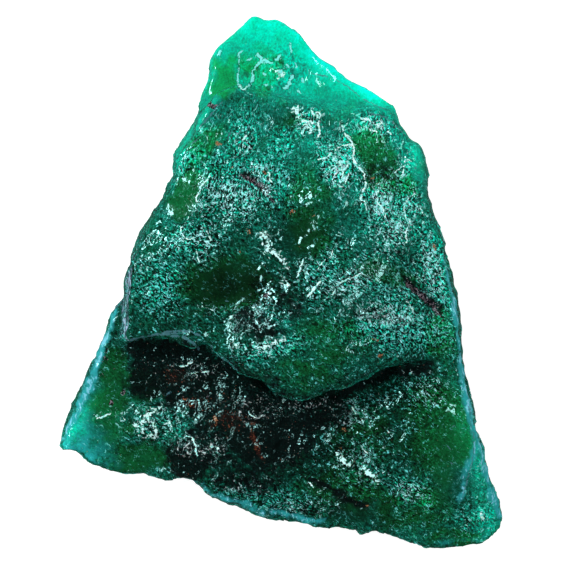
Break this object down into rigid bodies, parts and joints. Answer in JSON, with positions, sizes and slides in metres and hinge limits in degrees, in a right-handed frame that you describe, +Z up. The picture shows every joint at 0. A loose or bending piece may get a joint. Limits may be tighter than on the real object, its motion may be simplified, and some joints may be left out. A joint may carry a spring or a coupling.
{
  "type": "rough emerald",
  "caption": "Loose lump of rough translucent green crystal with a thin pale lip, a broad broken face and an overhanging ledge, lying on its flat underside.",
  "frame": {"origin": "centre of the stone's box, on the surface that it lies on", "axes": "+Y along the length towards the thin lip, +X to the right of the broad face, +Z up out of the broad face"},
  "size_m": [0.045, 0.0538, 0.0157],
  "materials": {
    "emerald": "glassy broken crystal"
  },
  "bodies": {
    "root": {"rough_emerald": "emerald"}
  },
  "joints": []
}
